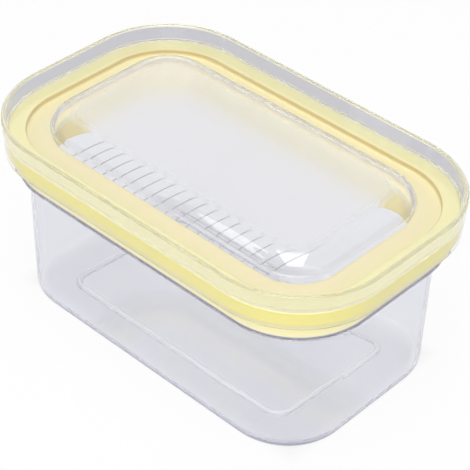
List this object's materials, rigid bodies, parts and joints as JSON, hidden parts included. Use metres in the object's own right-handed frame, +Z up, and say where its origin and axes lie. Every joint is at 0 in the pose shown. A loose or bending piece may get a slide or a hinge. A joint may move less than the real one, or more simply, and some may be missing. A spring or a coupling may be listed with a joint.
{
  "type": "butter dish",
  "caption": "Butter dish with a clear deep container, a yellow lift-off cutter frame strung with parallel steel wires over its opening, and a clear skirted lid with a raised dome.",
  "frame": {"origin": "middle of the container's base, on the surface it rests on", "axes": "+X along the long side, +Y along the short side, +Z up"},
  "size_m": [0.1632, 0.1036, 0.0767],
  "materials": {
    "clear_plastic": "clear, polished, faint lilac tint",
    "clear_lid": "clear, polished",
    "yellow_plastic": "moulded, soft satin, pale yellow",
    "steel_wire": "drawn stainless wire"
  },
  "bodies": {
    "container": {"container": "clear_plastic"},
    "cutter": {"cutter_frame": "yellow_plastic", "wire_clamp_ring": "yellow_plastic", "wire_01": "steel_wire", "wire_02": "steel_wire", "wire_03": "steel_wire", "wire_04": "steel_wire", "wire_05": "steel_wire", "wire_06": "steel_wire", "wire_07": "steel_wire", "wire_08": "steel_wire", "wire_09": "steel_wire", "wire_10": "steel_wire", "wire_11": "steel_wire", "wire_12": "steel_wire", "wire_13": "steel_wire", "wire_14": "steel_wire", "wire_15": "steel_wire", "wire_16": "steel_wire", "wire_17": "steel_wire", "wire_18": "steel_wire", "wire_19": "steel_wire"},
    "lid": {"lid": "clear_lid"}
  },
  "joints": [
    {"name": "cutter_lift", "type": "slide", "parent": "container", "child": "cutter", "axis": [0, 0, 1], "range_m": [0, 0.05]},
    {"name": "lid_lift", "type": "slide", "parent": "cutter", "child": "lid", "axis": [0, 0, 1], "range_m": [0, 0.05]}
  ]
}
